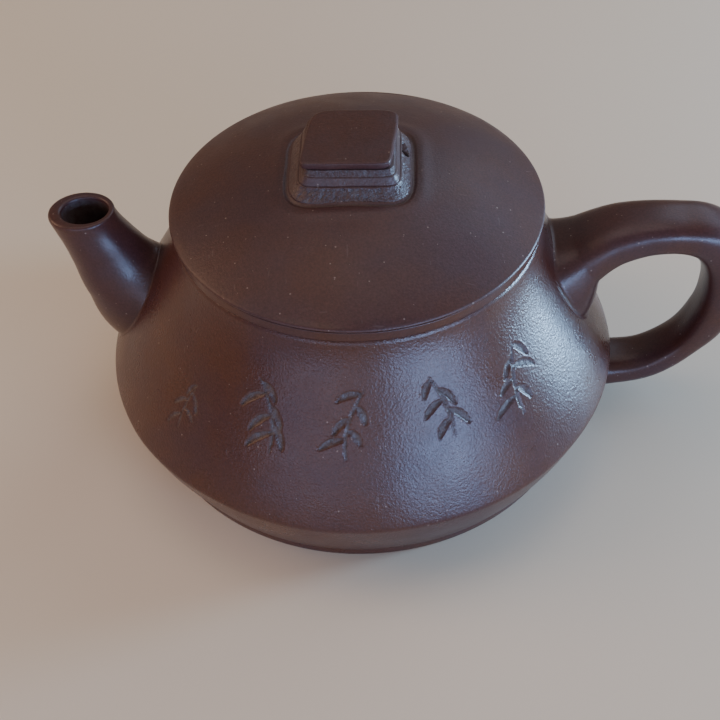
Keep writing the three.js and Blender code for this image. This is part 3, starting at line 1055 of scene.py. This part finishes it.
class Nodes:
    """Short way to build a material's node tree."""

    def __init__(self, name):
        self.material = bpy.data.materials.new(name)
        self.material.use_nodes = True
        self.tree = self.material.node_tree
        self.shader = self.tree.nodes["Principled BSDF"]
        self.place = self.tree.nodes.new("ShaderNodeTexCoord").outputs["Object"]

    def add(self, kind, links=None, **settings):
        node = self.tree.nodes.new(kind)
        for key, value in settings.items():
            setattr(node, key, value)
        self.feed(node, links or {})
        return node

    def feed(self, node, links):
        """Links sockets to a node's inputs, or sets the inputs to values."""
        for name, source in links.items():
            if isinstance(source, bpy.types.NodeSocket):
                self.tree.links.new(source, node.inputs[name])
            else:
                node.inputs[name].default_value = source

    def noise(self, scale, detail, roughness, place=None):
        place = place or self.place
        links = {"Vector": place, "Scale": scale, "Detail": detail, "Roughness": roughness}
        return self.add("ShaderNodeTexNoise", links).outputs["Fac"]

    def remap(self, value, low, high, to_low=0.0, to_high=1.0):
        links = {"Value": value, "From Min": low, "From Max": high}
        links.update({"To Min": to_low, "To Max": to_high})
        return self.add("ShaderNodeMapRange", links).outputs["Result"]

    def maths(self, operation, a, b):
        return self.add("ShaderNodeMath", {0: a, 1: b}, operation=operation).outputs[0]

    def mix(self, factor, a, b, blend="MIX"):
        links = {0: factor, 6: a, 7: b}  # the sockets of a mix of two colours
        return self.add("ShaderNodeMix", links, data_type="RGBA", blend_type=blend).outputs[2]

    def grey(self, value):
        links = {"Red": value, "Green": value, "Blue": value}
        return self.add("ShaderNodeCombineColor", links).outputs[0]

    def stretched(self, rotation, scale):
        links = {"Vector": self.place, "Rotation": rotation, "Scale": scale}
        return self.add("ShaderNodeMapping", links).outputs[0]


# How fine each pattern in the clay is: the noise's scale, per metre
PATCHES = 55
WEAR = 120
SCRATCHES_ONE_WAY = 210
SCRATCHES_OTHER_WAY = 190
CUT_WEAR = 900
PEEL = 650
SPECK_CELLS = 1100.0
PORES = 2100
GRAIN = 2300
SPECK_TONE = (0.3, 0.22, 0.18, 1)
SCRATCH_TONE = (0.25, 0.19, 0.17, 1)
# pale tone of unburnished cuts; in the spout's bore it is also painted light, standing in for light falling
# inside
CUT_AND_LIT_BORE_TONE = (0.11, 0.09, 0.09, 1)
KNOB_CUT_TONE = (0.13, 0.11, 0.11, 1)
BUMP_DISTANCE = 0.00011  # metres


def clay(name, brown, purple, roughness, bumps, cut_and_lit_bore_tone=CUT_AND_LIT_BORE_TONE, scratches=0.5, worked=1.6):
    """Unglazed clay: mottled brown and purple, fine open grain, pale specks and fine scratches.

    bumps: height of the grain. scratches: their strength. worked: the grain's height in cuts.
    """
    n = Nodes(name)
    patches = n.remap(n.noise(PATCHES, 3, 0.55), 0.36, 0.64)
    colour = n.mix(patches, brown, purple)
    grain = n.remap(n.noise(GRAIN, 2, 0.6), 0.3, 0.7, 0.78, 1.22)
    colour = n.mix(1.0, colour, n.grey(grain), "MULTIPLY")

    cells = n.add("ShaderNodeTexVoronoi", {"Vector": n.place, "Scale": SPECK_CELLS})
    chosen = n.add("ShaderNodeSeparateColor", {"Color": cells.outputs["Color"]}).outputs["Red"]
    size = n.remap(chosen, 0.86, 1.0, 0.0, 0.22)
    speck = n.maths("LESS_THAN", cells.outputs["Distance"], size)
    colour = n.mix(n.maths("MULTIPLY", speck, 0.6), colour, SPECK_TONE)

    first_way = n.stretched((0.4, 0.9, 0.6), (1, 9, 2.2))
    second_way = n.stretched((1.3, 0.2, 2.1), (8, 1.6, 1))
    first = n.remap(n.noise(SCRATCHES_ONE_WAY, 1, 0.4, first_way), 0.76, 0.8)
    second = n.remap(n.noise(SCRATCHES_OTHER_WAY, 1, 0.4, second_way), 0.76, 0.8)
    scratch = n.maths("MULTIPLY", n.maths("MAXIMUM", first, second), scratches)
    colour = n.mix(n.maths("MULTIPLY", scratch, 0.16), colour, SCRATCH_TONE)

    # cuts take the paler cut tone; in the spout's bore the same tone is painted light, standing in for
    # light falling inside
    cut = n.add("ShaderNodeAttribute", attribute_name="cut").outputs["Fac"]
    cut_cover = n.remap(n.noise(CUT_WEAR, 2, 0.6), 0.3, 0.65, 0.2, 0.95)
    colour = n.mix(n.maths("MULTIPLY", cut, cut_cover), colour, cut_and_lit_bore_tone)

    wear = n.remap(n.noise(WEAR, 3, 0.6), 0.3, 0.7, roughness - 0.04, roughness + 0.05)
    wear = n.maths("ADD", wear, n.maths("MULTIPLY", cut, 0.15))

    pores = n.noise(PORES, 2, 0.6)
    peel = n.noise(PEEL, 2, 0.5)
    height = n.maths("ADD", n.maths("MULTIPLY", pores, 0.9), n.maths("MULTIPLY", peel, 0.3))
    height = n.maths("SUBTRACT", height, n.maths("MULTIPLY", scratch, 0.2))
    cut_height = n.maths("MULTIPLY", cut, n.maths("MULTIPLY", pores, worked))
    height = n.maths("ADD", height, cut_height)
    links = {"Height": height, "Strength": 1.0, "Distance": BUMP_DISTANCE * bumps}
    bump = n.add("ShaderNodeBump", links).outputs[0]
    n.feed(n.shader, {"Base Color": colour, "Roughness": wear, "Normal": bump})
    n.feed(n.shader, {"Specular IOR Level": 0.5})
    return n.material


def paper(name, colour, roughness):
    """A plain matt surface with very faint cloudiness."""
    n = Nodes(name)
    cloud = n.remap(n.noise(6, 2, 0.5), 0.3, 0.7, 0.985, 1.015)
    colour = n.mix(1.0, colour, n.grey(cloud), "MULTIPLY")
    n.feed(n.shader, {"Base Color": colour, "Roughness": roughness})
    return n.material


# ---------------------------------------------------------------- stage, light and camera

FLOOR_SIZE = 8
LIT_POINT = Vector((0, 0, 0.035))  # metres, about the middle of the pot
CAMERA_PLACE = (9.39, -191.12, 208.90)  # millimetres from the pot's axis at table height
CAMERA_PITCH = math.radians(46.38)
CAMERA_ROLL = math.radians(-2.41)
CAMERA_TURN = math.radians(3)


def floor():
    bpy.ops.mesh.primitive_plane_add(size=FLOOR_SIZE, location=(0, 0, 0))
    plane = bpy.context.object
    plane.name = "floor"
    plane.data.materials.append(paper("floor_paper", (0.80, 0.68, 0.52, 1), 0.6))


def soft_light(name, azimuth, elevation, distance, size, power, colour):
    """A rectangular soft light aimed at the pot, in degrees round and up, and in metres."""
    data = bpy.data.lights.new(name, "AREA")
    data.shape = "RECTANGLE"
    data.size, data.size_y = size
    data.energy = power
    data.color = colour
    light = bpy.data.objects.new(name, data)
    turn, lift = math.radians(azimuth), math.radians(elevation)
    way = Vector((math.cos(lift) * math.cos(turn), math.cos(lift) * math.sin(turn), math.sin(lift)))
    light.location = LIT_POINT + way * distance
    light.rotation_euler = way.to_track_quat("Z", "Y").to_euler()
    bpy.context.scene.collection.objects.link(light)


def lighting():
    """A dim warm room, cool windows in front, at the side and behind, and two warm lamps."""
    world = bpy.data.worlds.new("soft_room")
    world.use_nodes = True
    background = world.node_tree.nodes["Background"]
    background.inputs["Color"].default_value = (1.0, 0.90, 0.80, 1)
    background.inputs["Strength"].default_value = 0.25
    bpy.context.scene.world = world
    soft_light("front_window", -54, 8, 1.0, (0.7, 0.3), 9, (0.36, 0.56, 1.0))
    soft_light("front_fill", -108, 10, 1.0, (0.8, 0.3), 2, (0.60, 0.66, 1.0))
    soft_light("side_window", 11, 3, 0.5, (0.10, 0.09), 4.5, (0.36, 0.64, 1.0))
    soft_light("back_window", 50, 38, 1.2, (0.9, 0.7), 2.8, (0.6, 0.75, 1.0))
    soft_light("left_lamp", 175, 30, 1.2, (0.7, 0.7), 5, (1.0, 0.62, 0.40))
    soft_light("overhead", 110, 78, 1.3, (1.0, 0.8), 2.5, (1.0, 0.82, 0.76))


def camera():
    """Looks down at the pot from the front, at about 46 degrees."""
    data = bpy.data.cameras.new("camera")
    data.lens = 60
    data.sensor_width = 36
    data.clip_start = 0.01
    view = bpy.data.objects.new("camera", data)
    view.rotation_mode = "XYZ"
    turn = Matrix.Rotation(CAMERA_TURN, 3, "Z")
    tilt = Matrix.Rotation(math.pi / 2 - CAMERA_PITCH, 3, "X")
    roll = Matrix.Rotation(CAMERA_ROLL, 3, "Z")
    view.rotation_euler = (turn @ tilt @ roll).to_euler()
    x, y, z = CAMERA_PLACE
    view.location = Vector((AXIS_X + x, y, z)) * MM
    bpy.context.scene.collection.objects.link(view)
    bpy.context.scene.camera = view


# ---------------------------------------------------------------- putting it together

def finish_piece(piece, body, slot, *nodes):
    """Says which CAD nodes a piece stands for, by hiding them, and what it rides on."""
    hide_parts(*nodes)
    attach(piece, body)


camera()
lighting()
floor()

body_clay = clay("body_clay", (0.080, 0.025, 0.014, 1), (0.062, 0.023, 0.024, 1), 0.29, 0.85)
lid_clay = clay("lid_clay", (0.074, 0.026, 0.019, 1), (0.062, 0.027, 0.029, 1), 0.4, 0.55, scratches=0.8)
hand_clay = clay("hand_clay", (0.078, 0.025, 0.015, 1), (0.060, 0.024, 0.026, 1), 0.32, 0.35, scratches=0.2)
rough_clay = clay("rough_clay", (0.078, 0.034, 0.026, 1), (0.066, 0.034, 0.035, 1), 0.4, 0.8,
                  KNOB_CUT_TONE, scratches=0.1, worked=4.5)
inner_clay = clay("inner_clay", (0.056, 0.026, 0.019, 1), (0.048, 0.026, 0.025, 1), 0.6, 1.4, scratches=0.3)

finish_piece(body_shell(body_clay), "pot", "clay_body", "lower_wall", "upper_wall")
finish_piece(mouth_rim(hand_clay), "pot", "clay_body", "mouth_rim")
finish_piece(foot_ring(body_clay), "pot", "clay_body", "foot_ring")
finish_piece(base_disc(body_clay), "pot", "clay_body", "base_disc")
finish_piece(spout(hand_clay), "pot", "clay_body", "spout")
finish_piece(handle(hand_clay), "pot", "clay_body", "handle")
finish_piece(strainer(inner_clay), "pot", "clay_inner", "strainer")
finish_piece(lid_disc(lid_clay), "lid", "clay_lid", "lid_disc")
finish_piece(lid_flange(inner_clay), "lid", "clay_inner", "lid_flange")
finish_piece(knob_plinth(rough_clay), "lid", "clay_rough", "knob_plinth")
finish_piece(knob_waist(rough_clay), "lid", "clay_rough", "knob_waist")
finish_piece(knob_cap(lid_clay), "lid", "clay_lid", "knob_cap")

bpy.context.view_layer.update()
